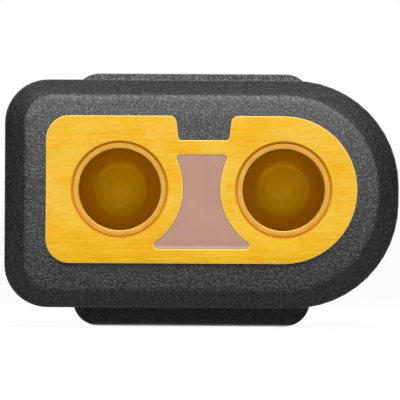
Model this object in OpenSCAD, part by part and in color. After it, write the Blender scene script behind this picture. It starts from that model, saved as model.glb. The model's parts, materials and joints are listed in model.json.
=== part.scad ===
// Device-end connector of a 12 V car charging cable.
// It lies on its lower grip pad, with its mating face towards -Y and its cable outlet towards +Y.
// Depths are counted from the mating face, and heights from the axis of the two sockets.

/* [Contacts] */
// Bore of each socket
socket_d = 5; // [4.6:0.1:5.2]
// Distance between the axes of the two sockets
pitch = 10; // [9.7:0.1:10.6]
// Depth of the straight bore, from the mouth of the contact
socket_depth = 9.5; // [8:0.25:9.75]
// Wall of the turned barrel
barrel_wall = 0.35; // [0.3:0.05:0.45]
// How far the mouth lies behind the mating face
mouth_recess = 0.2; // [0.1:0.05:0.4]
// Diameter of the flat bottom of the bore
bottom_d = 3.1; // [2.5:0.1:3.6]
// Thickness of the collar that holds the contact in its block
collar_t = 1.2; // [0.8:0.1:1.4]
// How far the collar stands out of the barrel
collar_step = 0.55; // [0.4:0.05:0.6]
// Outer diameter of the solder cup
cup_d = 4.4; // [4:0.1:4.8]
// Length of the solder cup behind the block
cup_l = 7; // [6:0.5:8]
// Thickness of the insulating sleeve on the cup
sleeve_wall = 0.4; // [0.3:0.05:0.5]

/* [Contact block] */
// Height of the block, and diameter of its round end
block_h = 9; // [8.9:0.1:9.6]
// Radius of the two square-end corners
block_corner_r = 1.45; // [0.8:0.05:2]
// Width of the keyway at its mouth
keyway_w = 3.6; // [3:0.1:4]
// Width of the keyway at its floor
keyway_floor_w = 2.9; // [2.2:0.1:2.9]
// Depth of the keyway
keyway_depth = 1.48; // [1.1:0.02:1.5]
// Radius of the keyway's two edges at its mouth
keyway_mouth_r = 0.33; // [0.1:0.01:0.4]
// Length of the keyed part of the block, up to its shoulder
keyed_l = 8; // [6:0.5:9]
// Step of the shoulder that stops the block in the nose
shoulder_step = 0.15; // [0.1:0.05:0.2]
// Sideways place of the keyway, off centre so that the plug mates one way only
keyway_x = 0.12; // [-0.2:0.04:0.3]
// Even wall left round the centre pocket
web = 0.9; // [0.8:0.05:1.1]
// Depth of the centre pocket
pocket_depth = 4.3; // [3:0.1:5]
// How far the centre insert lies behind the mating face
insert_recess = 0.1; // [0.05:0.05:0.6]

/* [Nose] */
// Length of the nose in front of the grip
nose_l = 10; // [9.5:0.25:12]
// Width of the front rim at both sides
rim_side = 1.27; // [1.1:0.01:1.6]
// Width of the front rim above the block
rim_top = 1.22; // [1.1:0.01:1.6]
// Width of the front rim below the block
rim_bottom = 1.74; // [1.5:0.01:2]
// Width of the sloping flank at both sides, seen from the front
flank_side = 1.27; // [1:0.01:1.6]
// Width of the sloping flank above and below, seen from the front
flank_level = 0.98; // [0.9:0.01:1.2]
// Depth of the sloping flank
flank_depth = 2.2; // [1.5:0.1:4]
// How far the rim slopes back from the block to its outer edge
rim_drop = 0.18; // [0.05:0.01:0.4]
// Softness of the edge between rim and flank
rim_edge = 0.25; // [0.1:0.05:0.4]
// Softness of the edge between flank and walls
flank_edge = 0.45; // [0.2:0.05:0.7]
// Radius of the two square-end corners of the nose
nose_corner_r = 2.65; // [2:0.05:3.2]
// Radius of the two shoulders of the round end
nose_end_r = 6.4; // [5.6:0.1:6.6]
// Wall of the neck behind the nose
neck_wall = 0.6; // [0.55:0.05:0.65]
// Length of the neck that the grip closes round
neck_l = 2.4; // [1.8:0.1:3]
// How far the neck's flange stands out
flange_step = 0.4; // [0.35:0.05:0.45]
// Thickness of that flange
flange_t = 1.6; // [1.2:0.1:2]
// Thickness of the plate that keeps the contacts in
retainer_t = 1.5; // [1.2:0.1:1.8]

/* [Grip] */
// Wall of the two grip shells
grip_wall = 1.6; // [1.5:0.1:1.8]
// Step from the nose down to the grip
grip_step = 0.2; // [0.1:0.05:0.25]
// Length of the straight part of the grip
grip_straight_l = 23; // [22.5:0.5:27]
// Length of the rounded shoulder behind it
shoulder_l = 10; // [9.5:0.5:12]
// Length of the round collar behind the shoulder
collar_l = 3.5; // [3:0.5:5]
// Diameter of that collar
outlet_collar_d = 13.4; // [13.2:0.1:13.5]
// Thickness of the rib that backs the contact plate
rib_t = 1.2; // [0.8:0.1:1.4]

/* [Grip pads] */
// Width of the two pads
pad_w = 14.8; // [12:0.1:15]
// Length of the two pads
pad_l = 17.6; // [16:0.2:18]
// Sideways place of the pads, over the flats of the grip
pad_x = -0.6; // [-0.9:0.1:-0.3]
// How far the upper pad stands above the nose
upper_pad_rise = 0.53; // [0.4:0.01:0.9]
// How far the lower pad stands below the nose
lower_pad_drop = 1.26; // [0.9:0.01:1.6]
// Depth of the seat of each pad in its shell
pad_seat = 0.7; // [0.5:0.05:0.8]
// Radius of the long edges of the pads
pad_edge_r = 1.65; // [1:0.05:1.7]
// Radius of the pads' corners in plan
pad_corner_r = 2.2; // [1.5:0.1:3]
// Number of finger grooves in each pad
groove_n = 4; // [2:1:5]
// Depth of a finger groove
groove_depth = 0.35; // [0.2:0.05:0.5]

/* [Cable outlet] */
// Diameter of the cable that the outlet takes
cable_d = 6.5; // [6:0.1:6.8]
// Wall of the rubber bush
bush_wall = 1.2; // [1:0.1:1.3]
// Length of the bush inside the grip
bush_l = 6.5; // [6:0.25:7]
// How far the bush's end bead stands behind the collar
bead_l = 1.5; // [1:0.1:2]
// How far the bush's flange and bead stand out
bush_step = 1; // [0.6:0.1:1]

/* [Fasteners] */
// Thread diameter of the shell and clamp screws
screw_d = 2; // [1.8:0.1:2.1]
// Head diameter of those screws
head_d = 3.6; // [3.2:0.1:3.7]
// Head height of those screws
head_h = 1.2; // [1:0.1:1.3]
// Length of the brass inserts
insert_l = 4; // [3:0.25:4.2]
// Thread diameter of the two small retainer screws
small_screw_d = 1.4; // [1.2:0.1:1.4]
// Length of the cable clamp along the grip
clamp_l = 4.2; // [4:0.1:5]
// Thickness of the cable clamp
clamp_t = 3; // [2.6:0.1:3.2]

/* [Hidden] */
$fn = 64;

// Clearances
slip = 0.05;
loose = 0.1;
block_fit = 0.06;
cut = 1;

// Contacts
socket_r = socket_d / 2;
barrel_r = socket_r + barrel_wall;
collar_r = barrel_r + collar_step;
cup_r = cup_d / 2;
cup_wall = 0.45;
cup_floor_t = 1.5;
cup_lip = 1.2;
cup_window_z = 0.5;
sleeve_r = cup_r + slip + sleeve_wall;
sleeve_over = 1;
mouth_chamfer = 0.12;
barrel_edge = 0.08;
ring_gap = 0.08;
ring_seat_depth = 0.15;
bottom_slope = 1.25;
socket_axes = [-pitch / 2, pitch / 2];

// Depths behind the mating face
neck_end = nose_l + neck_l;
nose_end = neck_end + flange_t;
block_l = nose_end - retainer_t;
cup_end = block_l + cup_l;
rib_end = nose_end + slip + rib_t;
shoulder_start = nose_l + grip_straight_l;
shoulder_end = shoulder_start + shoulder_l;
collar_end = shoulder_end + collar_l;
total_l = collar_end + bead_l;

// Outlines, seen along the connector
block_w = pitch + block_h;
mouth_ring_r = barrel_r + slip + ring_gap;
nose_w = block_w + 2 * (rim_side + flank_side);
nose_top = block_h / 2 + rim_top + flank_level;
nose_bottom = -block_h / 2 - rim_bottom - flank_level;
mid_z = (nose_top + nose_bottom) / 2;
nose_h = nose_top - nose_bottom;
neck_grow = shoulder_step + block_fit + neck_wall;
flange_grow = neck_grow + flange_step;
pocket_top = block_h / 2 - keyway_depth - web;
pocket_bottom = -block_h / 2 + web;
pocket_side_r = mouth_ring_r + web;
pocket_corner_r = 0.15;
keyway_floor_r = 0.15;
rim_flat = 0.1;
edge_steps = 4;
sliver = 0.01;
least_r = 0.3;

// Grip pads
pad_start = rib_end;
pad_mid = pad_start + pad_l / 2;
pad_top = nose_top + upper_pad_rise;
pad_bottom = nose_bottom - lower_pad_drop;
grip_top = nose_top - grip_step;
grip_bottom = nose_bottom + grip_step;
groove_pitch = pad_l / (groove_n + 1);
groove_r = 1;

// Grip
rib_lip = 0.9;
shoulder_steps = 8;
tongue = 0.6;
tongue_root = 0.4;
tongue_end = 2;

// Cable outlet
bush_bore_r = cable_d / 2 + slip;
bush_r = bush_bore_r + bush_wall;
bush_start = collar_end - bush_l;
bush_flange_r = bush_r + bush_step;
bush_flange_t = 1.5;
bush_lead = 1.5;
bush_flange_at = bush_start + bush_lead;
bush_gap = 0.5;
outlet_room = 0.4;
bead_edge = 0.5;

// Fasteners
insert_wall = 0.5;
insert_r = screw_d / 2 + insert_wall;
insert_room = 0.2;
boss_wall = 0.7;
boss_gap = 0.3;
boss_root = 0.3;
boss_r = head_d / 2 + loose + boss_wall;
post_wall = 0.9;
post_r = screw_d / 2 + post_wall;
seat_z = grip_bottom + pad_seat + head_h + loose;
front_boss_at = cup_end + sleeve_over + boss_gap + boss_r;
rear_boss_back = 3.3;
rear_boss_at = shoulder_start + rear_boss_back;
cable_gap = 0.5;
rear_boss_x = cable_d / 2 + loose + cable_gap + boss_r;
clamp_gap = 0.6;
clamp_at = front_boss_at + boss_r + clamp_gap + clamp_l / 2;
clamp_screw_x = cable_d / 2 + loose + post_r + boss_gap;
clamp_over = 1;
clamp_top = mid_z + cable_d / 2 + clamp_over;
clamp_seat = clamp_top - head_h - loose;
clamp_bottom = clamp_top - clamp_t;
clamp_corner_r = 1;
cradle_t = 1.6;
cradle_rise = 1.2;
pilot_floor = 0.6;
tip_gap = 0.5;
head_root = 0.2;
cross_l = 2.1;
cross_w = 0.45;
cross_depth = 0.6;
small_head_d = 2.8;
small_head_h = 0.9;
small_screw_z = 1.85;
small_screw_l = 4.5;
small_cross_l = 1.6;
small_cross_w = 0.35;
small_cross_depth = 0.45;

// The mating face stands half the length in front of the origin, and the lower pad on z = 0.
front_y = -total_l / 2;
axis_z = -pad_bottom;

// Extrudes an outline, seen from the front, from one depth to another.
module span(from, to) {
    translate([0, front_y + to, axis_z])
        rotate([90, 0, 0])
            linear_extrude(to - from) children();
}

// Revolves a profile of [radius, depth] points about an axis along the connector.
module turned(x, z, profile) {
    translate([x, front_y, axis_z + z])
        rotate([-90, 0, 0])
            rotate_extrude() polygon(profile);
}

// A plain round hole or pin along the connector.
module rod(x, z, r, from, to) {
    translate([x, front_y + from, axis_z + z])
        rotate([-90, 0, 0]) cylinder(r = r, h = to - from);
}

// A plain round hole or pin that stands upright in the grip.
module pillar(x, at, r, from, to) {
    translate([x, front_y + at, axis_z + from]) cylinder(r = r, h = to - from);
}

// A box by its limits: sideways, in depth and in height.
module block_box(x, at, z) {
    translate([x[0], front_y + at[0], axis_z + z[0]])
        cube([x[1] - x[0], at[1] - at[0], z[1] - z[0]]);
}

// Outline with one square end and one round end, grown by a distance.
module block_outline(grow) {
    r = block_corner_r + grow;
    half_h = block_h / 2 + grow;
    left = -block_w / 2 - grow;
    translate([pitch / 2, 0]) circle(half_h);
    translate([left + r, -half_h]) square([pitch / 2 - left - r, 2 * half_h]);
    translate([left, -half_h + r]) square([2 * r, 2 * (half_h - r)]);
    for (z = [-1, 1])
        translate([left + r, z * (half_h - r)]) circle(r);
}

// Corner circles of an outline with one square end and one round end. A hull closes them.
module corner_circles(half_x, half_z, square_r, round_r) {
    for (z = [-1, 1]) {
        translate([square_r - half_x, mid_z + z * (half_z - square_r)]) circle(square_r);
        translate([half_x - round_r, mid_z + z * (half_z - round_r)]) circle(round_r);
    }
}

// The same circles for the nose, drawn in from its widest section.
module nose_circles(side, level) {
    corner_circles(nose_w / 2 - side, nose_h / 2 - level,
                   max(nose_corner_r - level, least_r), nose_end_r - level);
}

// Cross-section of the keyway, with rounded floor corners.
module keyway_outline() {
    floor_z = block_h / 2 - keyway_depth;
    lean = (keyway_w - keyway_floor_w) / 2 / keyway_depth;
    mouth_half_w = keyway_w / 2 + lean * cut;
    translate([keyway_x, 0])
        offset(r = keyway_floor_r) offset(delta = -keyway_floor_r)
            polygon([[-keyway_floor_w / 2, floor_z], [keyway_floor_w / 2, floor_z],
                     [mouth_half_w, block_h / 2 + cut], [-mouth_half_w, block_h / 2 + cut]]);
}

// Outline of the block with its keyway, grown by a fit.
module keyed_outline(grow) {
    offset(delta = grow)
        offset(r = keyway_mouth_r) offset(delta = -keyway_mouth_r)
            difference() {
                block_outline(0);
                keyway_outline();
            }
}

// Hourglass between the two sockets, with an even web to every neighbour.
module hourglass(fit) {
    offset(r = pocket_corner_r) offset(delta = -pocket_corner_r - fit)
        difference() {
            translate([-pitch / 2, pocket_bottom])
                square([pitch, pocket_top - pocket_bottom]);
            for (x = socket_axes)
                translate([x, 0]) circle(pocket_side_r);
        }
}

// Point at a share of the curve that leaves a for b and ends at c.
function curve(a, b, c, share) =
    a * pow(1 - share, 2) + b * 2 * share * (1 - share) + c * pow(share, 2);

// Solid of the nose: sloping rim, flank and straight walls, with both edges softened.
// A section is [how far the sides are drawn in, the same above and below, depth].
module nose_form() {
    crease = [flank_side, flank_level, rim_drop];
    widest = [0, 0, flank_depth];
    on_rim = [flank_side + rim_edge, flank_level + rim_edge, rim_drop * (1 - rim_edge / rim_side)];
    past_rim = crease + (widest - crease) * rim_edge / flank_depth;
    on_flank = widest + (crease - widest) * flank_edge / flank_depth;
    on_wall = widest + [0, 0, flank_edge];
    hull() {
        span(0, sliver) block_outline(block_fit + rim_flat);
        for (i = [0 : edge_steps])
            for (section = [curve(on_rim, crease, past_rim, i / edge_steps),
                            curve(on_flank, widest, on_wall, i / edge_steps)])
                span(section[2], section[2] + sliver) nose_circles(section[0], section[1]);
        span(nose_l - sliver, nose_l) nose_circles(0, 0);
    }
}

// Nose with a key, and with a neck and flange that the grip closes round.
module nose_shell() {
    color("#2b2b2d") difference() {
        union() {
            nose_form();
            span(nose_l - cut, neck_end + slip) block_outline(neck_grow);
            span(neck_end, nose_end) block_outline(flange_grow);
        }
        span(-cut, keyed_l + slip) keyed_outline(block_fit);
        span(keyed_l, nose_end + cut) block_outline(shoulder_step + block_fit);
    }
}

// Yellow insulating block with stepped bores, a keyway and the hourglass pocket.
module contact_block() {
    color("#f2bd3c") difference() {
        union() {
            span(0, keyed_l + slip) keyed_outline(0);
            span(keyed_l, block_l) block_outline(shoulder_step);
        }
        span(-cut, pocket_depth) hourglass(0);
        for (x = socket_axes) {
            rod(x, 0, barrel_r + slip, -cut, block_l + cut);
            rod(x, 0, mouth_ring_r, -cut, mouth_recess + ring_seat_depth);
            rod(x, 0, collar_r + slip, block_l - collar_t, block_l + cut);
        }
        for (z = [-small_screw_z, small_screw_z])
            rod(0, z, small_screw_d / 2 + slip, block_l - small_screw_l, block_l + cut);
    }
}

// Dusty pink filler that closes the pocket between the sockets.
module centre_insert() {
    color("#bd9281") span(insert_recess, pocket_depth) hourglass(slip);
}

// One turned contact: socket, collar and solder cup.
module contact(x) {
    bore_end = mouth_recess + socket_depth;
    bottom = bore_end + (socket_r - bottom_d / 2) * bottom_slope;
    cup_bore_r = cup_r - cup_wall;
    cup_floor = block_l + cup_floor_t;
    color("#d9a441") difference() {
        turned(x, 0, [
            [0, bottom], [bottom_d / 2, bottom], [socket_r, bore_end],
            [socket_r, mouth_recess + mouth_chamfer], [socket_r + mouth_chamfer, mouth_recess],
            [barrel_r - barrel_edge, mouth_recess], [barrel_r, mouth_recess + barrel_edge],
            [barrel_r, block_l - collar_t], [collar_r, block_l - collar_t],
            [collar_r, block_l], [cup_r, block_l], [cup_r, cup_end],
            [cup_bore_r, cup_end], [cup_bore_r, cup_floor], [0, cup_floor]
        ]);
        block_box([x - cup_d, x + cup_d], [cup_floor + cup_lip, cup_end + cut],
                  [cup_window_z, cup_d]);
    }
}

// Insulating sleeve pushed over one solder cup.
module cup_sleeve(x) {
    color("#3a3a3c") difference() {
        rod(x, 0, sleeve_r, nose_end, cup_end + sleeve_over);
        rod(x, 0, cup_r + slip, nose_end - cut, cup_end + sleeve_over + cut);
    }
}

// Plate behind the block that keeps both collars in their seats.
module contact_retainer() {
    color("#4a4a4d") difference() {
        span(block_l, nose_end) block_outline(shoulder_step);
        for (x = socket_axes)
            rod(x, 0, cup_r + slip, block_l - cut, nose_end + cut);
        for (z = [-small_screw_z, small_screw_z])
            rod(0, z, small_screw_d / 2 + slip, block_l - cut, nose_end + cut);
    }
}

// Two pan-head screws along the connector, each with a cross recess.
module retainer_screws() {
    tip = block_l - small_screw_l + tip_gap;
    head_end = nose_end + small_head_h;
    color("#b9bcc0")
        for (z = [-small_screw_z, small_screw_z])
            difference() {
                union() {
                    rod(0, z, small_screw_d / 2, tip, nose_end + head_root);
                    rod(0, z, small_head_d / 2, nose_end, head_end);
                }
                for (turn = [0, 90])
                    translate([0, front_y + head_end, axis_z + z])
                        rotate([0, turn, 0])
                            cube([small_cross_l, 2 * small_cross_depth, small_cross_w], center = true);
            }
}

// Half-width or half-height of the grip at a share of its rounded shoulder.
function rounded_off(t, full, end) = end + (full - end) * sqrt(1 - t * t);

// Solid with the grip's outline, drawn in by a wall, that rounds off to the outlet.
module grip_form(wall, from, straight_end, round_end, end_r) {
    full_x = nose_w / 2 - grip_step - wall;
    full_z = nose_h / 2 - grip_step - wall;
    left_r = max(nose_corner_r - grip_step - wall, least_r);
    right_r = nose_end_r - grip_step - wall;
    hull() {
        span(from, straight_end) nose_circles(grip_step + wall, grip_step + wall);
        for (i = [1 : shoulder_steps]) {
            t = sin(90 * i / shoulder_steps);
            half_z = rounded_off(t, full_z, end_r);
            at = straight_end + (round_end - straight_end) * t;
            span(at - sliver, at)
                corner_circles(rounded_off(t, full_x, end_r), half_z,
                               left_r + (end_r - left_r) * t,
                               min(right_r + (end_r - right_r) * t, half_z));
        }
    }
}

// Room inside both shells: neck, flange, backing rib, wire room and cable bush.
module grip_room() {
    room_end = bush_start - bush_gap;
    span(nose_l - cut, neck_end + slip) block_outline(neck_grow + slip);
    span(neck_end - slip, nose_end + slip) block_outline(flange_grow + slip);
    span(nose_end, rib_end + cut) block_outline(-rib_lip);
    grip_form(grip_wall, rib_end, shoulder_start - grip_wall, room_end, bush_r + outlet_room);
    rod(0, mid_z, bush_r + slip, room_end - cut, collar_end + cut);
    rod(0, mid_z, bush_flange_r + slip, bush_flange_at - slip, bush_flange_at + bush_flange_t + slip);
}

// Outside of both shells before they are split.
module grip_outside() {
    grip_form(0, nose_l, shoulder_start, shoulder_end, outlet_collar_d / 2);
    rod(0, mid_z, outlet_collar_d / 2, shoulder_end - cut, collar_end);
}

// Seat or body of the pads in plan, with rounded corners.
module pad_plan(grow, from, to) {
    translate([pad_x, front_y + pad_mid, axis_z + from])
        linear_extrude(to - from)
            offset(r = pad_corner_r + grow) offset(delta = -pad_corner_r)
                square([pad_w, pad_l], center = true);
}

// Places of the three shell screws.
module at_shell_screws() {
    for (place = [[0, front_boss_at], [-rear_boss_x, rear_boss_at], [rear_boss_x, rear_boss_at]])
        translate([place[0], place[1], 0]) children();
}

// Everything above, or below, the parting plane of the grip.
module half(side) {
    z = side > 0 ? [mid_z, mid_z + nose_h] : [mid_z - nose_h, mid_z];
    block_box([-nose_w, nose_w], [0, total_l + cut], z);
}

// Locating tongues along both side walls.
module tongues(fit) {
    wall_x = nose_w / 2 - grip_step - grip_wall / 2;
    for (x = [-wall_x, wall_x])
        block_box([x - tongue / 2 - fit, x + tongue / 2 + fit],
                  [pad_start + tongue_end - fit, shoulder_start - tongue_end + fit],
                  [mid_z - tongue_root, mid_z + tongue + fit]);
}

// Upper half of the grip, with a boss for each threaded insert.
module upper_shell() {
    color("#303033") difference() {
        union() {
            intersection() {
                difference() {
                    grip_outside();
                    grip_room();
                }
                half(1);
            }
            at_shell_screws() pillar(0, 0, boss_r, mid_z, grip_top - grip_wall + boss_root);
        }
        at_shell_screws() pillar(0, 0, insert_r, mid_z - cut, mid_z + insert_l + insert_room);
        pad_plan(slip, grip_top - pad_seat, pad_top + cut);
        tongues(slip);
    }
}

// Lower half of the grip, with screw bosses, clamp posts and a cradle for the cable.
module lower_shell() {
    floor_z = grip_bottom + grip_wall;
    cradle_z = mid_z - cable_d / 2 + cradle_rise;
    color("#303033") difference() {
        union() {
            intersection() {
                difference() {
                    grip_outside();
                    grip_room();
                }
                half(-1);
            }
            at_shell_screws() pillar(0, 0, boss_r, floor_z - boss_root, mid_z);
            for (x = [-clamp_screw_x, clamp_screw_x])
                pillar(x, clamp_at, post_r, floor_z - boss_root, clamp_bottom);
            block_box([-clamp_screw_x, clamp_screw_x],
                      [clamp_at - cradle_t / 2, clamp_at + cradle_t / 2],
                      [floor_z - boss_root, cradle_z]);
            tongues(0);
        }
        at_shell_screws() {
            pillar(0, 0, screw_d / 2 + loose, seat_z - cut, mid_z + cut);
            pillar(0, 0, head_d / 2 + loose, pad_bottom - cut, seat_z);
        }
        for (x = [-clamp_screw_x, clamp_screw_x])
            pillar(x, clamp_at, screw_d / 2 + slip, floor_z + pilot_floor, clamp_bottom + cut);
        rod(0, mid_z, cable_d / 2 + loose, clamp_at - clamp_l, clamp_at + clamp_l);
        pad_plan(slip, pad_bottom - cut, grip_bottom + pad_seat);
    }
}

// Both pads as one rounded bar through the grip, with grooves across its top and bottom.
module pad_bar() {
    height = pad_top - pad_bottom;
    middle = (pad_top + pad_bottom) / 2;
    difference() {
        intersection() {
            span(pad_start - cut, pad_start + pad_l + cut)
                translate([pad_x, middle])
                    offset(r = pad_edge_r) offset(delta = -pad_edge_r)
                        square([pad_w, height], center = true);
            translate([pad_x - pad_w, front_y + pad_mid, axis_z + middle])
                rotate([90, 0, 90])
                    linear_extrude(2 * pad_w)
                        offset(r = pad_edge_r) offset(delta = -pad_edge_r)
                            square([pad_l, height], center = true);
            pad_plan(0, pad_bottom, pad_top);
        }
        for (i = [1 : groove_n], z = [pad_bottom + groove_depth - groove_r,
                                      pad_top - groove_depth + groove_r])
            translate([pad_x - pad_w, front_y + pad_start + i * groove_pitch, axis_z + z])
                rotate([0, 90, 0]) cylinder(r = groove_r, h = 2 * pad_w);
    }
}

// Pad above, from its seat up.
module upper_grip_pad() {
    color("#262628") intersection() {
        pad_bar();
        block_box([-nose_w, nose_w], [0, total_l], [grip_top - pad_seat, pad_top + cut]);
    }
}

// Pad below, which the connector rests on.
module lower_grip_pad() {
    color("#262628") intersection() {
        pad_bar();
        block_box([-nose_w, nose_w], [0, total_l], [pad_bottom - cut, grip_bottom + pad_seat]);
    }
}

// Brass inserts pressed into the bosses of the upper shell.
module threaded_inserts() {
    color("#c8a24b")
        at_shell_screws() difference() {
            pillar(0, 0, insert_r - slip / 2, mid_z, mid_z + insert_l);
            pillar(0, 0, screw_d / 2 + slip / 2, mid_z - cut, mid_z + insert_l + cut);
        }
}

// Upright screw with its head at a seat below, or above, its shank.
module upright_screw(seat, tip) {
    way = tip > seat ? 1 : -1;
    head_z = way > 0 ? [seat - head_h, seat] : [seat, seat + head_h];
    shank_z = way > 0 ? [seat - head_root, tip] : [tip, seat + head_root];
    difference() {
        union() {
            pillar(0, 0, head_d / 2, head_z[0], head_z[1]);
            pillar(0, 0, screw_d / 2, shank_z[0], shank_z[1]);
        }
        for (turn = [0, 90])
            translate([0, front_y, axis_z + seat - way * head_h])
                rotate([0, 0, turn]) cube([cross_l, cross_w, 2 * cross_depth], center = true);
    }
}

// Three screws that hold the two shells together, one of them under the lower pad.
module shell_screws() {
    color("#b9bcc0") at_shell_screws() upright_screw(seat_z, mid_z + insert_l - tip_gap);
}

// Bridge that holds the cable down in its cradle.
module cable_clamp() {
    half_w = clamp_screw_x + post_r;
    color("#4a4a4d") difference() {
        intersection() {
            block_box([-half_w, half_w], [clamp_at - clamp_l / 2, clamp_at + clamp_l / 2],
                      [clamp_bottom, clamp_top]);
            translate([0, front_y + clamp_at, axis_z])
                linear_extrude(nose_h, center = true)
                    offset(r = clamp_corner_r) offset(delta = -clamp_corner_r)
                        square([2 * half_w, clamp_l], center = true);
        }
        rod(0, mid_z, cable_d / 2, clamp_at - clamp_l, clamp_at + clamp_l);
        for (x = [-clamp_screw_x, clamp_screw_x]) {
            pillar(x, clamp_at, screw_d / 2 + loose, clamp_bottom - cut, clamp_top + cut);
            pillar(x, clamp_at, head_d / 2 + loose, clamp_seat, clamp_top + cut);
        }
    }
}

// Two screws through the clamp into the posts of the lower shell.
module clamp_screws() {
    tip = grip_bottom + grip_wall + pilot_floor + tip_gap;
    color("#b9bcc0")
        for (x = [-clamp_screw_x, clamp_screw_x])
            translate([x, clamp_at, 0]) upright_screw(clamp_seat, tip);
}

// Rubber bush in the outlet, held by its flange and finished with a bead.
module cable_bush() {
    color("#1f1f20")
        turned(0, mid_z, [
            [bush_bore_r, bush_start], [bush_r, bush_start], [bush_r, bush_flange_at],
            [bush_flange_r, bush_flange_at], [bush_flange_r, bush_flange_at + bush_flange_t],
            [bush_r, bush_flange_at + bush_flange_t], [bush_r, collar_end],
            [bush_flange_r, collar_end], [bush_flange_r, total_l - bead_edge],
            [bush_flange_r - bead_edge, total_l], [bush_bore_r, total_l]
        ]);
}

nose_shell();
contact_block();
centre_insert();
contact(socket_axes[0]);  // left_contact
contact(socket_axes[1]);  // right_contact
cup_sleeve(socket_axes[0]);  // left_cup_sleeve
cup_sleeve(socket_axes[1]);  // right_cup_sleeve
contact_retainer();
retainer_screws();
upper_shell();
lower_shell();
upper_grip_pad();
lower_grip_pad();
threaded_inserts();
shell_screws();
cable_clamp();
clamp_screws();
cable_bush();
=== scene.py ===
"""Looks of a car charging cable connector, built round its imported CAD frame."""
import json
import math

import bmesh
import bpy
from mathutils import Matrix, Vector


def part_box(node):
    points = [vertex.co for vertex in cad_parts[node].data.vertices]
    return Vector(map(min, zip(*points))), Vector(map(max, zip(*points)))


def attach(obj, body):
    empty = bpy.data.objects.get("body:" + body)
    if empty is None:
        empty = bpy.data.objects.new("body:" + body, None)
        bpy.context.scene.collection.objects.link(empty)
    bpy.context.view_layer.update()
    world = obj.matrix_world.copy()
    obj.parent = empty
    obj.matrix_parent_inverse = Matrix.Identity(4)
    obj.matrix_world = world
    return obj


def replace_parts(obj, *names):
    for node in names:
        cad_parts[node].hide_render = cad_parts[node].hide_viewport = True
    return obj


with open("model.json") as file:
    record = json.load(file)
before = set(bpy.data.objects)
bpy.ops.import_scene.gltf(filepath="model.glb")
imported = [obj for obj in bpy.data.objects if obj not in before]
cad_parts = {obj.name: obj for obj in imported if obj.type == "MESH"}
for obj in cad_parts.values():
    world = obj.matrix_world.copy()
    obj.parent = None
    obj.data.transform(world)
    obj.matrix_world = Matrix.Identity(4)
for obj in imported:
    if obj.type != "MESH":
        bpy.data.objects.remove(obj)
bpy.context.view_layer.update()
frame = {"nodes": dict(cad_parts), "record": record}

MM = 0.001

# Places that come from the frame, in millimetres. Depths are counted from the mating face.
MOUNTS = {mount["name"]: mount for mount in frame["record"]["mounts"]}
NOSE_LOW, NOSE_HIGH = (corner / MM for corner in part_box("nose_shell"))
FRONT = NOSE_LOW.y
AXIS_Z = MOUNTS["right_socket"]["pos_m"][2] / MM
SOCKET_X = MOUNTS["right_socket"]["pos_m"][0] / MM
SOCKET_R = MOUNTS["right_socket"]["dims"]["r_mm"]
BLOCK_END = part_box("contact_block")[1].y / MM - FRONT
NOSE_END = NOSE_HIGH.y - FRONT
CUP_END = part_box("right_contact")[1].y / MM - FRONT

# Contact block
BLOCK_HALF_H = 4.5
BLOCK_CORNER_R = 1.45
KEYWAY_X = 0.12
KEYWAY_W = 3.42
KEYWAY_FLOOR_W = 3.06
KEYWAY_DEPTH = 1.48
KEYWAY_MOUTH_R = 0.42
KEYWAY_FLOOR_R = 0.18
KEYED_L = 8
SHOULDER_STEP = 0.15
BLOCK_FIT = 0.06
SLIP = 0.05
POCKET_TOP = 2.12
POCKET_BOTTOM = -3.6
POCKET_SIDE_R = 3.88
POCKET_LEAN = 0.7
POCKET_CORNER_R = 0.22
POCKET_DEPTH = 4.3
INSERT_RECESS = 0.06
RING_SEAT_R = 2.98
RING_SEAT_DEPTH = 0.26
SMALL_SCREW_Z = 1.85
SMALL_SCREW_R = 0.75
SMALL_SCREW_L = 4.5

# Contacts
BARREL_R = SOCKET_R + 0.35
COLLAR_R = BARREL_R + 0.55
COLLAR_T = 1.2
CUP_R = 2.2
CUP_BORE_R = 1.75
CUP_FLOOR = BLOCK_END + 1.5
CUP_WINDOW = CUP_FLOOR + 1.2
MOUTH = 0.2
MOUTH_CHAMFER = 0.03
BORE_END = MOUTH + 9.5
BOTTOM_R = 1.75
BOTTOM = BORE_END + (SOCKET_R - BOTTOM_R) * 1.25
DISH_DEPTH = 0.12

# Nose
RIM_SIDE = 1.27
RIM_LEVEL = 0.98
RIM_DROP = 0.1
RIM_EDGE = (0.5, 0.15)
CROWN_R = 46
CROWN_STEP = 0.6
FACE_FIT = 0.01
FLANK_DEPTH = 2.2
FLANK_EDGE = 0.45
NOSE_CORNER_R = 2.65
NOSE_END_R = 6.4
RIM_END_R = 6.65
FLANK_END_R = 6.45
NOSE_L = 10
NECK_END = 12.4
NECK_GROW = SHOULDER_STEP + BLOCK_FIT + 0.6
FLANGE_GROW = NECK_GROW + 0.4

# Edges that catch the light
BLOCK_EDGE = 0.09
POCKET_EDGE = 0.12
RING_SEAT_EDGE = 0.01
RING_EDGE = 0.06
FILLER_EDGE = 0.04

ARC_STEPS = 12
EDGE_STEPS = 5
TURN_STEPS = 160


# Outlines are lists of (x, z) points in millimetres, anticlockwise as seen from the front.

def side_normals(corners, i):
    """Outward normals of the sides before and after a corner."""
    here = Vector(corners[i][:2])
    before = (here - Vector(corners[i - 1][:2])).normalized()
    after = (Vector(corners[(i + 1) % len(corners)][:2]) - here).normalized()
    return Vector((before.y, -before.x)), Vector((after.y, -after.x))


def is_convex(corners, i):
    """Whether the outline turns outwards at a corner."""
    first, second = side_normals(corners, i)
    return first.x * second.y - first.y * second.x > 0


def grown(corners, by):
    """The same (x, z, radius) corners with every side moved outwards."""
    moved = []
    for i, (x, z, radius) in enumerate(corners):
        first, second = side_normals(corners, i)
        shift = (first + second) * (by / (1 + first.dot(second)))
        grow = by if is_convex(corners, i) else -by
        moved.append((x + shift.x, z + shift.y, max(radius + grow, 0.01)))
    return moved


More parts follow.
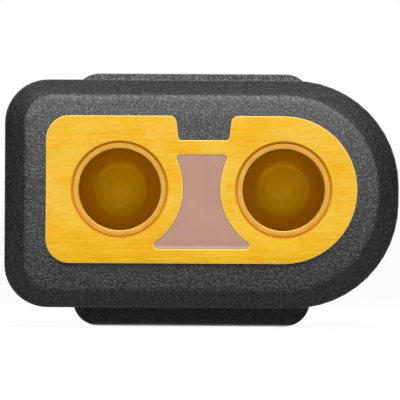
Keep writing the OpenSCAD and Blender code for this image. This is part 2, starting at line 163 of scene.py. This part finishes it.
def rounded(corners):
    """Outline points of (x, z, radius) corners, an arc at each."""
    points = []
    for i, (x, z, radius) in enumerate(corners):
        first, second = side_normals(corners, i)
        way = 1 if is_convex(corners, i) else -1
        centre = Vector((x, z)) - (first + second) * (way * radius / (1 + first.dot(second)))
        start = math.atan2(way * first.y, way * first.x)
        sweep = first.angle_signed(second)
        for k in range(ARC_STEPS + 1):
            turn = start - sweep * k / ARC_STEPS
            points.append((centre.x + radius * math.cos(turn), centre.y + radius * math.sin(turn)))
    return points


def d_corners(left, right, bottom, top, square_r, round_r):
    """Corners of an outline with a square left end and a round right end."""
    return [(left, bottom, square_r), (right, bottom, round_r),
            (right, top, round_r), (left, top, square_r)]


def block_corners(grow):
    """Corners of the block without its keyway."""
    right = SOCKET_X + BLOCK_HALF_H
    return grown(d_corners(-right, right, -BLOCK_HALF_H, BLOCK_HALF_H,
                           BLOCK_CORNER_R, BLOCK_HALF_H), grow)


def keyed_outline(grow):
    """Outline of the block with its keyway."""
    floor = BLOCK_HALF_H - KEYWAY_DEPTH
    keyway = [(KEYWAY_X + KEYWAY_W / 2, BLOCK_HALF_H, KEYWAY_MOUTH_R),
              (KEYWAY_X + KEYWAY_FLOOR_W / 2, floor, KEYWAY_FLOOR_R),
              (KEYWAY_X - KEYWAY_FLOOR_W / 2, floor, KEYWAY_FLOOR_R),
              (KEYWAY_X - KEYWAY_W / 2, BLOCK_HALF_H, KEYWAY_MOUTH_R)]
    plain = block_corners(0)
    return rounded(grown(plain[:3] + keyway + plain[3:], grow))


def nose_corners(side, level, end_r):
    """Corners of the nose, drawn in from its widest section."""
    return d_corners(NOSE_LOW.x + side, NOSE_HIGH.x - side,
                     NOSE_LOW.z - AXIS_Z + level, NOSE_HIGH.z - AXIS_Z - level,
                     NOSE_CORNER_R - level, end_r - level)


def over_the_key(corners, keyed):
    """Outline without a keyway, with two points in line with the keyway's mouth."""
    arc = ARC_STEPS + 1
    points = rounded(corners)
    top = points[3 * arc - 1][1]
    mouth = [(keyed[3 * arc][0], top), (keyed[7 * arc - 1][0], top)]
    return points[:3 * arc] + mouth + points[3 * arc:]


def circle(x, z, radius):
    """Outline of a full circle."""
    return [(x + radius * math.cos(math.tau * i / TURN_STEPS),
             z + radius * math.sin(math.tau * i / TURN_STEPS)) for i in range(TURN_STEPS)]


def hourglass(grow):
    """Outline between arcs about the two sockets, flatter above them, with rounded corners."""
    corner_r = POCKET_CORNER_R + grow
    half = []
    for level, way, lean in ((POCKET_BOTTOM - grow, 1, 0), (POCKET_TOP + grow, -1, POCKET_LEAN)):
        centre_x = SOCKET_X + lean
        side_r = POCKET_SIDE_R + lean - grow
        z = level + way * corner_r
        x = centre_x - math.sqrt((side_r + corner_r) ** 2 - z ** 2)
        touch = math.atan2(-z, centre_x - x)
        square = -way * math.pi / 2
        fillet = [(x + corner_r * math.cos(square + (touch - square) * k / 6),
                   z + corner_r * math.sin(square + (touch - square) * k / 6)) for k in range(7)]
        low = math.atan2(fillet[-1][1], fillet[-1][0] - centre_x) % math.tau
        side = [(centre_x + side_r * math.cos(low + (math.pi - low) * k / 16),
                 side_r * math.sin(low + (math.pi - low) * k / 16)) for k in range(1, 16)]
        half.append((fillet + side)[::way])
    right = half[0] + [(SOCKET_X - POCKET_SIDE_R + grow, 0)] + half[1]
    return right + [(-x, z) for x, z in reversed(right)]


# Meshes

def loft(bm, sections):
    """Skin through sections of (outline, depth, edge), where an edge above 0 rounds its section."""
    loops = [[Vector((x, FRONT + depth, AXIS_Z + z)) for x, z in outline]
             for outline, depth, _ in sections]
    rows = []
    for i, (loop, (_, _, edge)) in enumerate(zip(loops, sections)):
        if edge:
            rows += [[softened(*near, edge, k / EDGE_STEPS)
                      for near in zip(loop, loops[i - 1], loops[i + 1])]
                     for k in range(EDGE_STEPS + 1)]
        else:
            rows.append(loop)
    rings = [[bm.verts.new(point * MM) for point in row] for row in rows]
    for near, far in zip(rings, rings[1:]):
        for i in range(len(near)):
            bm.faces.new((near[i - 1], near[i], far[i], far[i - 1]))


def softened(corner, before, after, edge, share):
    """Point of the curve that rounds a corner. A pair of edges reaches further on one side."""
    first, second = edge if isinstance(edge, tuple) else (edge, edge)
    start = corner + (before - corner) * min(1, first / max((before - corner).length, first))
    end = corner + (after - corner) * min(1, second / max((after - corner).length, second))
    return start.lerp(corner, share).lerp(corner.lerp(end, share), share)


def cap(bm, *depths):
    """Closes the open edges at each depth with flat faces. An outline inside another stays open."""
    bmesh.ops.remove_doubles(bm, verts=bm.verts, dist=2e-7)
    for depth in depths:
        y = (FRONT + depth) * MM
        rim = [e for e in bm.edges if e.is_boundary and all(abs(v.co.y - y) < 1e-7 for v in e.verts)]
        bmesh.ops.triangle_fill(bm, edges=rim, use_beauty=True, normal=(0, -1, 0))


def finished(name, bm, origin=(0, 0, 0)):
    """Makes the object of a mesh. Faces square to the axis stay flat, and the rest are smooth."""
    bmesh.ops.remove_doubles(bm, verts=bm.verts, dist=2e-7)
    bmesh.ops.recalc_face_normals(bm, faces=bm.faces)
    bm.normal_update()
    for face in bm.faces:
        face.smooth = abs(face.normal.y) < 0.99999
    bm.transform(Matrix.Translation(-Vector(origin)))
    mesh = bpy.data.meshes.new(name)
    bm.to_mesh(mesh)
    bm.free()
    mesh.set_sharp_from_angle(angle=math.radians(34))
    piece = bpy.data.objects.new(name, mesh)
    bpy.context.scene.collection.objects.link(piece)
    piece.location = origin
    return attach(piece, "root")


def crown(bm):
    """Curves the front of the nose back a little above and below its middle."""
    low, high = NOSE_LOW.z - AXIS_Z, NOSE_HIGH.z - AXIS_Z
    for k in range(math.ceil(low / CROWN_STEP), math.floor(high / CROWN_STEP) + 1):
        bmesh.ops.bisect_plane(bm, geom=bm.verts[:] + bm.edges[:] + bm.faces[:], dist=1e-7,
                               plane_co=(0, 0, (AXIS_Z + k * CROWN_STEP) * MM), plane_no=(0, 0, 1))
    for vert in bm.verts:
        depth = vert.co.y / MM - FRONT
        z = vert.co.z / MM - AXIS_Z
        if depth < FLANK_DEPTH:
            vert.co.y += z ** 2 / (2 * CROWN_R) * (1 - depth / FLANK_DEPTH) * MM


def nose():
    """Nose with its crowned rim, sloping flank, key, neck and flange."""
    keyed = keyed_outline(FACE_FIT)
    bm = bmesh.new()
    rim = over_the_key(nose_corners(RIM_SIDE, RIM_LEVEL, RIM_END_R), keyed)
    widest = over_the_key(nose_corners(0, 0, FLANK_END_R), keyed)
    back = over_the_key(nose_corners(0, 0, NOSE_END_R), keyed)
    neck = over_the_key(block_corners(NECK_GROW), keyed)
    flange = over_the_key(block_corners(FLANGE_GROW), keyed)
    opening = over_the_key(block_corners(SHOULDER_STEP + BLOCK_FIT), keyed)
    loft(bm, [
        (over_the_key(block_corners(FACE_FIT), keyed), 0, 0),
        (rim, RIM_DROP, RIM_EDGE),
        (widest, FLANK_DEPTH, FLANK_EDGE),
        (back, NOSE_L, 0.1),
        (neck, NOSE_L, 0), (neck, NECK_END, 0),
        (flange, NECK_END, 0), (flange, NOSE_END, 0),
        (opening, NOSE_END, 0), (opening, KEYED_L, 0)])
    loft(bm, [(keyed, 0, 0), (keyed, KEYED_L, 0)])
    cap(bm, 0, KEYED_L)
    crown(bm)
    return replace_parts(finished("nose", bm), "nose_shell")


def insulator():
    """Yellow block with its stepped bores, keyway and hourglass pocket."""
    bm = bmesh.new()
    shoulder = rounded(block_corners(SHOULDER_STEP))
    loft(bm, [
        (keyed_outline(-BLOCK_EDGE), 0, 0),
        (keyed_outline(0), 0, BLOCK_EDGE),
        (keyed_outline(0), KEYED_L, 0)])
    loft(bm, [
        (shoulder, KEYED_L, 0),
        (shoulder, BLOCK_END, BLOCK_EDGE),
        (rounded(block_corners(SHOULDER_STEP - BLOCK_EDGE)), BLOCK_END, 0)])
    for x in (-SOCKET_X, SOCKET_X):
        loft(bm, [
            (circle(x, 0, RING_SEAT_R + RING_SEAT_EDGE), 0, 0),
            (circle(x, 0, RING_SEAT_R), 0, RING_SEAT_EDGE),
            (circle(x, 0, RING_SEAT_R), RING_SEAT_DEPTH, 0),
            (circle(x, 0, BARREL_R + FACE_FIT), RING_SEAT_DEPTH, 0),
            (circle(x, 0, BARREL_R + FACE_FIT), KEYED_L, 0),
            (circle(x, 0, BARREL_R + SLIP), KEYED_L, 0),
            (circle(x, 0, BARREL_R + SLIP), BLOCK_END - COLLAR_T, 0),
            (circle(x, 0, COLLAR_R + SLIP), BLOCK_END - COLLAR_T, 0),
            (circle(x, 0, COLLAR_R + SLIP), BLOCK_END, 0)])
    for z in (-SMALL_SCREW_Z, SMALL_SCREW_Z):
        loft(bm, [(circle(0, z, SMALL_SCREW_R), BLOCK_END - SMALL_SCREW_L, 0),
                  (circle(0, z, SMALL_SCREW_R), BLOCK_END, 0)])
    loft(bm, [
        (hourglass(POCKET_EDGE), 0, 0),
        (hourglass(0), 0, POCKET_EDGE),
        (hourglass(0), POCKET_DEPTH, 0)])
    cap(bm, 0, POCKET_DEPTH, KEYED_L, BLOCK_END - SMALL_SCREW_L, BLOCK_END)
    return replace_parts(finished("insulator", bm), "contact_block")


def filler():
    """Pink filler of the pocket."""
    bm = bmesh.new()
    loft(bm, [
        (hourglass(-FACE_FIT), POCKET_DEPTH, 0),
        (hourglass(-FACE_FIT), INSERT_RECESS, FILLER_EDGE),
        (hourglass(-FACE_FIT - FILLER_EDGE), INSERT_RECESS, 0)])
    cap(bm, INSERT_RECESS, POCKET_DEPTH)
    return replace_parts(finished("filler", bm), "centre_insert")


def contact(side, x):
    """Turned contact with its bore, collar and open solder cup."""
    profile = [
        (0, BOTTOM + DISH_DEPTH, 0), (BOTTOM_R / 3, BOTTOM + DISH_DEPTH, BOTTOM_R / 3),
        (BOTTOM_R, BOTTOM, 0.45),
        (SOCKET_R, BORE_END, 0.3), (SOCKET_R, MOUTH + MOUTH_CHAMFER, 0.02),
        (SOCKET_R + MOUTH_CHAMFER, MOUTH, 0.02),
        (BARREL_R, MOUTH, RING_EDGE), (BARREL_R, BLOCK_END - COLLAR_T, 0),
        (COLLAR_R, BLOCK_END - COLLAR_T, 0), (COLLAR_R, BLOCK_END, 0), (CUP_R, BLOCK_END, 0),
        (CUP_R, CUP_END, 0), (CUP_BORE_R, CUP_END, 0), (CUP_BORE_R, CUP_FLOOR, 0),
        (0, CUP_FLOOR, 0)]
    bm = bmesh.new()
    loft(bm, [(circle(x, 0, max(radius, 1e-6)), depth, edge) for radius, depth, edge in profile])
    origin = (x * MM, FRONT * MM, AXIS_Z * MM)
    piece = finished(side + "_socket_contact", bm, origin)
    open_cup(piece, x)
    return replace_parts(piece, side + "_contact")


def open_cup(piece, x):
    """Cuts the solder window out of the upper wall of a contact's cup."""
    low = Vector((x - COLLAR_R, FRONT + CUP_WINDOW, AXIS_Z + 0.5)) * MM
    high = Vector((x + COLLAR_R, FRONT + CUP_END + 1, AXIS_Z + COLLAR_R)) * MM
    bm = bmesh.new()
    bmesh.ops.create_cube(bm, size=1, matrix=Matrix.LocRotScale(
        (low + high) / 2, None, high - low))
    mesh = bpy.data.meshes.new("window")
    bm.to_mesh(mesh)
    bm.free()
    window = bpy.data.objects.new("window", mesh)
    bpy.context.scene.collection.objects.link(window)
    cut = piece.modifiers.new("window", "BOOLEAN")
    cut.operation = "DIFFERENCE"
    cut.object = window
    bpy.context.view_layer.update()
    result = bpy.data.meshes.new_from_object(
        piece.evaluated_get(bpy.context.evaluated_depsgraph_get()))
    piece.modifiers.clear()
    piece.data = result
    bpy.data.objects.remove(window)


def refined(node, name, edge):
    """A CAD node with its facets smoothed and its sharp edges broken."""
    source = frame["nodes"][node].data
    bm = bmesh.new()
    bm.from_mesh(source)
    bmesh.ops.remove_doubles(bm, verts=bm.verts, dist=1e-6)
    bmesh.ops.dissolve_limit(bm, angle_limit=math.radians(0.4), verts=bm.verts, edges=bm.edges)
    for face in bm.faces:
        face.smooth = True
    mesh = bpy.data.meshes.new(name)
    bm.to_mesh(mesh)
    bm.free()
    mesh.set_sharp_from_angle(angle=math.radians(30))
    piece = bpy.data.objects.new(name, mesh)
    bpy.context.scene.collection.objects.link(piece)
    if edge:
        bevel = piece.modifiers.new("edges", "BEVEL")
        bevel.width = edge * MM
        bevel.segments = 2
        bevel.limit_method = "ANGLE"
        bevel.angle_limit = math.radians(40)
        bevel.use_clamp_overlap = True
        bevel.harden_normals = True
    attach(piece, "root")
    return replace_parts(piece, node)


# Materials

class Nodes:
    """Shorthand for building one material's node tree."""

    def __init__(self, name, colour, roughness, specular=0.5, metallic=0.0):
        self.material = bpy.data.materials.new(name)
        self.material.use_nodes = True
        self.tree = self.material.node_tree
        self.shader = self.tree.nodes["Principled BSDF"]
        self.shader.inputs["Base Color"].default_value = (*colour, 1)
        self.shader.inputs["Roughness"].default_value = roughness
        self.shader.inputs["Specular IOR Level"].default_value = specular
        self.shader.inputs["Metallic"].default_value = metallic
        self.place = self.new("ShaderNodeTexCoord").outputs["Object"]

    def new(self, kind, **settings):
        """A node with its properties and unlinked inputs set."""
        node = self.tree.nodes.new(kind)
        for name, value in settings.items():
            if hasattr(node, name):
                setattr(node, name, value)
            else:
                node.inputs[name.replace("_", " ").title()].default_value = value
        return node

    def link(self, output, target):
        self.tree.links.new(output, target)

    def stretched(self, scale):
        """Object coordinates times a scale for each axis."""
        mapping = self.new("ShaderNodeMapping")
        mapping.inputs["Scale"].default_value = scale
        self.link(self.place, mapping.inputs["Vector"])
        return mapping.outputs["Vector"]

    def noise(self, size, detail=2.0, roughness=0.5, distortion=0.0, stretch=(1, 1, 1)):
        """Noise whose features have a size in millimetres, times a stretch for each axis."""
        vector = self.stretched([1 / (size * MM * factor) for factor in stretch])
        node = self.new("ShaderNodeTexNoise", scale=1.0, detail=detail, roughness=roughness,
                        distortion=distortion)
        self.link(vector, node.inputs["Vector"])
        return node.outputs["Fac"]

    def ranged(self, value, low, high, start=0.0, end=1.0):
        """A value taken from one range to another."""
        node = self.new("ShaderNodeMapRange")
        for name, number in (("From Min", start), ("From Max", end), ("To Min", low), ("To Max", high)):
            node.inputs[name].default_value = number
        self.link(value, node.inputs["Value"])
        return node.outputs["Result"]

    def maths(self, operation, first, second):
        """Two values put together."""
        node = self.new("ShaderNodeMath", operation=operation)
        for socket, value in zip(node.inputs, (first, second)):
            if isinstance(value, (int, float)):
                socket.default_value = value
            else:
                self.link(value, socket)
        return node.outputs["Value"]

    def blend(self, factor, first, second, mode="MIX"):
        """Two colours mixed by a value."""
        node = self.new("ShaderNodeMix", data_type="RGBA", blend_type=mode)
        for name, value in (("Factor", factor), ("A", first), ("B", second)):
            sockets = [s for s in node.inputs if s.name == name and s.enabled]
            if isinstance(value, (int, float)):
                sockets[0].default_value = value
            elif isinstance(value, tuple):
                sockets[0].default_value = (*value, 1)
            else:
                self.link(value, sockets[0])
        return [s for s in node.outputs if s.enabled][0]

    def bump(self, height, depth, strength=1.0, before=None):
        """Relief of a depth in millimetres on the shader's normal."""
        node = self.new("ShaderNodeBump")
        node.inputs["Strength"].default_value = strength
        node.inputs["Distance"].default_value = depth * MM
        self.link(height, node.inputs["Height"])
        if before is not None:
            self.link(before, node.inputs["Normal"])
        self.link(node.outputs["Normal"], self.shader.inputs["Normal"])
        return node.outputs["Normal"]

    def colour(self, output):
        self.link(output, self.shader.inputs["Base Color"])

    def gloss(self, output):
        self.link(output, self.shader.inputs["Roughness"])


def grained_plastic(name, colour, size, depth, roughness, specular):
    """Moulded plastic with the worm-like grain of a spark-eroded mould."""
    m = Nodes(name, colour, roughness, specular)
    worms = m.noise(size, detail=1.5, roughness=0.55, distortion=0.6, stretch=(1, 2, 1))
    ridges = m.ranged(m.maths("ABSOLUTE", m.maths("SUBTRACT", worms, 0.5), 0), 1, 0, 0, 0.09)
    cells = m.noise(size * 0.55, detail=2, roughness=0.6, stretch=(1, 2, 1))
    height = m.maths("ADD", ridges, m.maths("MULTIPLY", cells, 0.8))
    m.bump(height, depth)
    # Painted shade and highlight: the colour follows the grain's relief, darker in the pits and pale on
    # the ridges, over the grain's own bump.
    pale = tuple(channel * 3.1 + 0.004 for channel in colour)
    dark = tuple(channel * 0.5 for channel in colour)
    m.colour(m.blend(m.ranged(height, 0, 1, 0.5, 1.5), dark, pale))
    m.gloss(m.ranged(height, roughness + 0.12, roughness - 0.16, 0.4, 1.6))
    return m.material


def brushed_yellow():
    """Satin yellow with fine streaks across and warmer patches, a painted sheen that pales it towards
    the top, painted highlights on the edges and painted shade in the recesses.
    """
    m = Nodes("yellow_insulator_look", (0.88, 0.5, 0.03), 0.5, 0.08)
    streaks = m.noise(0.07, detail=3, roughness=0.6, stretch=(30, 30, 1))
    fine = m.noise(0.05, detail=2, stretch=(9, 9, 1))
    patches = m.noise(1.6, detail=2, roughness=0.55, distortion=0.4, stretch=(1.6, 1.6, 1))
    place = m.new("ShaderNodeSeparateXYZ")
    m.link(m.place, place.inputs["Vector"])
    # Painted sheen: the block is paler towards the top, as if lit from above; the warmer patches are
    # random tone.
    high = m.ranged(place.outputs["Z"], 0, 1, (AXIS_Z - 4.5) * MM, (AXIS_Z - 0.5) * MM)
    low_tone = m.blend(m.ranged(patches, 0, 1, 0.35, 0.65), (0.74, 0.37, 0.001), (0.80, 0.46, 0.004))
    sheened_top_tone = m.blend(m.ranged(patches, 0, 1, 0.35, 0.65), (0.80, 0.40, 0.006), (0.80, 0.50, 0.055))
    tone = m.blend(high, low_tone, sheened_top_tone)
    pale = m.blend(m.ranged(streaks, 0, 0.6, 0.42, 0.7), tone, (0.87, 0.57, 0.07))
    worn = m.blend(m.ranged(fine, 0, 0.6, 0.5, 0.72), pale, (0.70, 0.34, 0.004))
    # Painted highlight: faces turned away from the front, the rounded edges first, are painted pale.
    slope = m.new("ShaderNodeSeparateXYZ")
    m.link(m.new("ShaderNodeNewGeometry").outputs["True Normal"], slope.inputs["Vector"])
    edge = m.ranged(slope.outputs["Y"], 0, 0.9, -0.99, -0.8)
    highlighted_edges = m.blend(edge, worn, (0.98, 0.72, 0.26))
    # Painted shade: from 0.07 to 0.2 mm behind the face inwards, the block is painted dark orange, as
    # its recesses are in shade.
    inside = m.ranged(place.outputs["Y"], 0, 1, (FRONT + 0.07) * MM, (FRONT + 0.2) * MM)
    m.colour(m.blend(inside, highlighted_edges, (0.7, 0.33, 0.006)))
    m.gloss(m.ranged(streaks, 0.42, 0.62, 0.3, 0.7))
    m.bump(m.maths("ADD", streaks, fine), 0.004)
    return m.material


def dusty_pink():
    """Matt filler with a soft cloudiness, a few specks and a painted highlight along the bottom of its
    face.
    """
    m = Nodes("pink_filler_look", (0.44, 0.25, 0.19), 0.62, 0.3)
    cloud = m.noise(1.1, detail=3, roughness=0.5)
    specks = m.noise(0.11, detail=2)
    tone = m.blend(m.ranged(cloud, 0, 1, 0.3, 0.7), (0.43, 0.24, 0.195), (0.46, 0.26, 0.187))
    speckled = m.blend(m.ranged(specks, 0, 0.35, 0.55, 0.75), tone, (0.40, 0.225, 0.178))
    place = m.new("ShaderNodeSeparateXYZ")
    m.link(m.place, place.inputs["Vector"])
    # Painted highlight: a paler band along the bottom of the face.
    foot = (AXIS_Z + POCKET_BOTTOM) * MM
    painted_bottom_highlight = m.ranged(place.outputs["Z"], 0.8, 0, foot + 0.08 * MM, foot + 0.22 * MM)
    m.colour(m.blend(painted_bottom_highlight, speckled, (0.62, 0.42, 0.39)))
    m.bump(specks, 0.006)
    return m.material


def turned_gold():
    """Gold plate over turned metal, with a painted reflection tint down the bore and painted shade
    darkening the foot of the bore away from its centre.
    """
    m = Nodes("gold_look", (0.78, 0.42, 0.07), 0.4, 0.5, metallic=1.0)
    rings = m.new("ShaderNodeTexWave", wave_type="RINGS", rings_direction="Y", scale=2300.0,
                  distortion=1.5, detail=2.0, detail_scale=1.2)
    m.link(m.place, rings.inputs["Vector"])
    smudge = m.noise(0.9, detail=3, roughness=0.6)
    depth = m.new("ShaderNodeSeparateXYZ")
    m.link(m.place, depth.inputs["Vector"])
    # Painted reflection: deeper than 0.3 mm, the metal is painted the tint that the bore's reflections
    # give it.
    inside = m.ranged(depth.outputs["Y"], 0, 1, 0.3 * MM, 1.2 * MM)
    plate = m.blend(m.ranged(smudge, 0, 1, 0.3, 0.7), (0.82, 0.45, 0.07), (0.89, 0.51, 0.1))
    turned = m.blend(rings.outputs["Fac"], (0.91, 0.68, 0.04), (0.94, 0.7, 0.045))
    tinted_turned_bore = m.blend(m.ranged(smudge, 0, 0.6, 0.35, 0.65), turned, (0.98, 0.73, 0.06))
    # Painted shade: the foot of the bore darkens away from its centre.
    radius = m.new("ShaderNodeVectorMath", operation="LENGTH")
    m.link(m.stretched((1, 0, 1)), radius.inputs[0])
    painted_foot_shade = m.ranged(radius.outputs["Value"], 0, 1, 0.4 * MM, 1.3 * MM)
    foot = m.blend(painted_foot_shade, (0.81, 0.61, 0.028), (0.69, 0.47, 0.013))
    wide_rings = m.new("ShaderNodeTexWave", wave_type="RINGS", rings_direction="Y", scale=620.0,
                       distortion=2.0, detail=2.0, detail_scale=1.5)
    m.link(m.place, wide_rings.inputs["Vector"])
    foot = m.blend(m.ranged(wide_rings.outputs["Fac"], 0.28, 0, 0, 0.5), foot, (0.88, 0.68, 0.03))
    at_foot = m.ranged(depth.outputs["Y"], 0, 1, (BOTTOM - 0.3) * MM, BOTTOM * MM)
    m.colour(m.blend(at_foot, m.blend(inside, plate, tinted_turned_bore), foot))
    m.gloss(m.ranged(smudge, 0.5, 0.6, 0.3, 0.7))
    m.bump(rings.outputs["Fac"], 0.002)
    return m.material


def moulded_plastic(name, colour):
    """Plain inner plastic with a faint mould texture."""
    m = Nodes(name, colour, 0.5, 0.5)
    skin = m.noise(0.25, detail=3)
    m.bump(skin, 0.01)
    m.gloss(m.ranged(skin, 0.42, 0.6, 0.3, 0.7))
    m.colour(m.blend(skin, tuple(c * 0.8 for c in colour), tuple(c * 1.25 for c in colour)))
    return m.material


def turned_metal(name, colour, roughness):
    """Plated or bare metal with fine tool marks."""
    m = Nodes(name, colour, roughness, 0.5, metallic=1.0)
    marks = m.noise(0.06, detail=2, stretch=(6, 6, 1))
    m.bump(marks, 0.003)
    m.gloss(m.ranged(marks, roughness - 0.08, roughness + 0.12, 0.3, 0.7))
    m.colour(m.blend(marks, tuple(c * 0.85 for c in colour), tuple(min(c * 1.1, 1) for c in colour)))
    return m.material


def rubber():
    """Matt rubber with a fine bloom."""
    m = Nodes("bush_rubber_look", (0.025, 0.025, 0.026), 0.7, 0.35)
    bloom = m.noise(0.5, detail=4, roughness=0.65)
    skin = m.noise(0.12, detail=2)
    m.bump(skin, 0.006)
    m.gloss(m.ranged(bloom, 0.6, 0.82, 0.3, 0.7))
    m.colour(m.blend(m.ranged(bloom, 0, 1, 0.3, 0.75), (0.018, 0.018, 0.019), (0.04, 0.04, 0.041)))
    return m.material


def put_on(material, *pieces):
    """Gives each piece one material."""
    for piece in pieces:
        piece.data.materials.clear()
        piece.data.materials.append(material)


# Stage

def by_sight(tree):
    """1 for a ray that shows the surroundings: straight, reflected or seen through glass."""
    path = tree.nodes.new("ShaderNodeLightPath")
    seen = path.outputs["Is Camera Ray"]
    for name in ("Is Glossy Ray", "Is Transmission Ray"):
        node = tree.nodes.new("ShaderNodeMath")
        node.operation = "MAXIMUM"
        tree.links.new(seen, node.inputs[0])
        tree.links.new(path.outputs[name], node.inputs[1])
        seen = node.outputs["Value"]
    return seen


def white_world(fill):
    """White background, with a softer light from it."""
    world = bpy.data.worlds.new("studio")
    bpy.context.scene.world = world
    world.use_nodes = True
    tree = world.node_tree
    light = tree.nodes["Background"]
    light.inputs["Color"].default_value = (1, 1, 1, 1)
    light.inputs["Strength"].default_value = fill
    shown = tree.nodes.new("ShaderNodeBackground")
    shown.inputs["Color"].default_value = (1, 1, 1, 1)
    shown.inputs["Strength"].default_value = 1
    mix = tree.nodes.new("ShaderNodeMixShader")
    tree.links.new(by_sight(tree), mix.inputs["Fac"])
    tree.links.new(light.outputs["Background"], mix.inputs[1])
    tree.links.new(shown.outputs["Background"], mix.inputs[2])
    tree.links.new(mix.outputs["Shader"], tree.nodes["World Output"].inputs["Surface"])


def white_floor():
    """Pale floor that reads as white and keeps a soft shadow."""
    bpy.ops.mesh.primitive_plane_add(size=12)
    floor = bpy.context.object
    floor.name = "floor"
    material = bpy.data.materials.new("floor_look")
    material.use_nodes = True
    tree = material.node_tree
    tree.nodes.remove(tree.nodes["Principled BSDF"])
    plain = tree.nodes.new("ShaderNodeBsdfDiffuse")
    plain.inputs["Color"].default_value = (0.75, 0.75, 0.75, 1)
    soft = tree.nodes.new("ShaderNodeBsdfDiffuse")
    soft.inputs["Color"].default_value = (0.08, 0.08, 0.08, 1)
    glow = tree.nodes.new("ShaderNodeEmission")
    glow.inputs["Strength"].default_value = 0.95
    shown = tree.nodes.new("ShaderNodeAddShader")
    tree.links.new(soft.outputs["BSDF"], shown.inputs[0])
    tree.links.new(glow.outputs["Emission"], shown.inputs[1])
    mix = tree.nodes.new("ShaderNodeMixShader")
    tree.links.new(by_sight(tree), mix.inputs["Fac"])
    tree.links.new(plain.outputs["BSDF"], mix.inputs[1])
    tree.links.new(shown.outputs["Shader"], mix.inputs[2])
    tree.links.new(mix.outputs["Shader"], tree.nodes["Material Output"].inputs["Surface"])
    put_on(material, floor)


def card(name, place, size, level, turn=(0, 0, 0)):
    """Card of a grey level outside the picture, that only the object's reflections show."""
    bpy.ops.mesh.primitive_plane_add(size=1, location=place,
                                     rotation=[math.radians(angle) for angle in turn])
    plane = bpy.context.object
    plane.name = name
    plane.scale = (*size, 1)
    plane.visible_camera = plane.visible_diffuse = plane.visible_shadow = False
    material = bpy.data.materials.new(name + "_look")
    material.use_nodes = True
    tree = material.node_tree
    tree.nodes.remove(tree.nodes["Principled BSDF"])
    glow = tree.nodes.new("ShaderNodeEmission")
    glow.inputs["Strength"].default_value = level
    tree.links.new(glow.outputs["Emission"], tree.nodes["Material Output"].inputs["Surface"])
    put_on(material, plane)


def soft_box(name, place, target, size, power):
    """Square soft light aimed at a point."""
    data = bpy.data.lights.new(name, "AREA")
    data.shape = "RECTANGLE"
    data.size, data.size_y = size
    data.energy = power
    lamp = bpy.data.objects.new(name, data)
    bpy.context.scene.collection.objects.link(lamp)
    lamp.location = place
    lamp.rotation_euler = (Vector(target) - Vector(place)).to_track_quat("-Z", "Y").to_euler()
    lamp.visible_camera = False


def photo_camera(distance, width, place, roll):
    """Camera in front of the mating face. A width in millimetres fills the frame there."""
    data = bpy.data.cameras.new("photo_camera")
    data.sensor_width = 36
    data.lens = data.sensor_width * distance / width
    data.clip_start, data.clip_end = 0.01, 50
    camera = bpy.data.objects.new("photo_camera", data)
    bpy.context.scene.collection.objects.link(camera)
    camera.location = Vector((place[0], FRONT - distance, place[1])) * MM
    camera.rotation_euler = (math.pi / 2, math.radians(roll), 0)
    bpy.context.scene.camera = camera


# The object

black = grained_plastic("black_housing_look", (0.0185, 0.0185, 0.019), 0.18, 0.017, 0.38, 0.92)
pad_black = grained_plastic("pad_plastic_look", (0.072, 0.072, 0.0725), 0.2, 0.035, 0.42, 1.0)
inner_black = moulded_plastic("inner_plastic_look", (0.07, 0.07, 0.075))
sleeve_black = moulded_plastic("sleeve_look", (0.03, 0.03, 0.032))
steel = turned_metal("steel_look", (0.5, 0.5, 0.52), 0.35)
brass = turned_metal("brass_look", (0.7, 0.48, 0.2), 0.35)
gold = turned_gold()

put_on(black, nose())
put_on(brushed_yellow(), insulator())
put_on(dusty_pink(), filler())
put_on(gold, contact("left", -SOCKET_X), contact("right", SOCKET_X))
put_on(black, refined("upper_shell", "upper_grip_shell", 0.12),
       refined("lower_shell", "lower_grip_shell", 0.12))

nodes = frame["nodes"]
put_on(pad_black, nodes["upper_grip_pad"], nodes["lower_grip_pad"])
put_on(inner_black, nodes["contact_retainer"], nodes["cable_clamp"])
put_on(sleeve_black, nodes["left_cup_sleeve"], nodes["right_cup_sleeve"])
put_on(steel, nodes["retainer_screws"], nodes["shell_screws"], nodes["clamp_screws"])
put_on(brass, nodes["threaded_inserts"])
put_on(rubber(), nodes["cable_bush"])

# The studio

bpy.context.scene.view_settings.view_transform = "Standard"
white_world(0.12)
white_floor()
card("left_card", (-0.045, 0.01, 0.02), (0.07, 0.11), 0.02, (0, 90, 0))
card("right_card", (0.045, 0.01, 0.02), (0.07, 0.11), 0.02, (0, 90, 0))
card("room_card", (0, -0.95, 0.5), (2.4, 1.4), 0.6, (90, 0, 0))
card("roof_card", (0, 0.042, 0.07), (0.16, 0.1), 0.02)
# Painted shadow: a dark card under the object that its reflections show in place of the floor's shadow.
card("floor_shadow_card", (0, -0.045, 0.0001), (0.1, 0.21), 0.15)
soft_box("key", (0, -0.146, 0.167), (0, -0.024, 0.008), (0.2, 0.18), 0.565)
photo_camera(distance=700, width=24.35, place=(-0.098, 7.855), roll=-0.3)
